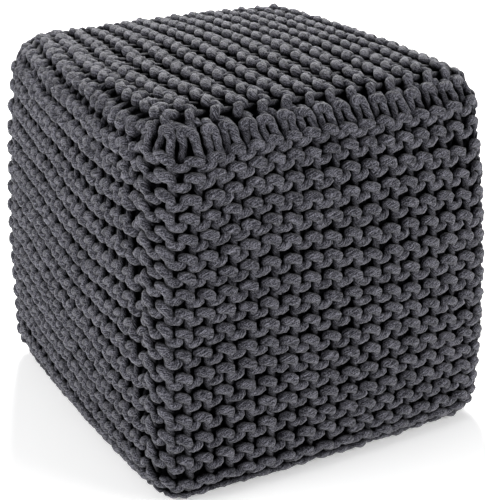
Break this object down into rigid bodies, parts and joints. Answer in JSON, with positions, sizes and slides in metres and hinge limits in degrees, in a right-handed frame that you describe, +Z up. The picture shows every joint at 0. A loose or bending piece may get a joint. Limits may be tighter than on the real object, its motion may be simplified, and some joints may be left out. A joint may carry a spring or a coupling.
{
  "type": "knitted pouf",
  "caption": "Cube-shaped filled floor pouf with a garter-stitch cover knitted in thick charcoal cotton cord, ribbed on every side and flat underneath.",
  "frame": {"origin": "middle of the flat base, on the surface the pouf stands on", "axes": "+Z up, -Y out of the front panel, +X to the right of it; the pouf is slightly deeper along Y than it is wide along X"},
  "size_m": [0.426, 0.46, 0.4079],
  "materials": {
    "charcoal_cotton_cord": "matt, soft and slightly fuzzy thick cotton cord"
  },
  "bodies": {
    "root": {"knitted_pouf": "charcoal_cotton_cord"}
  },
  "joints": []
}
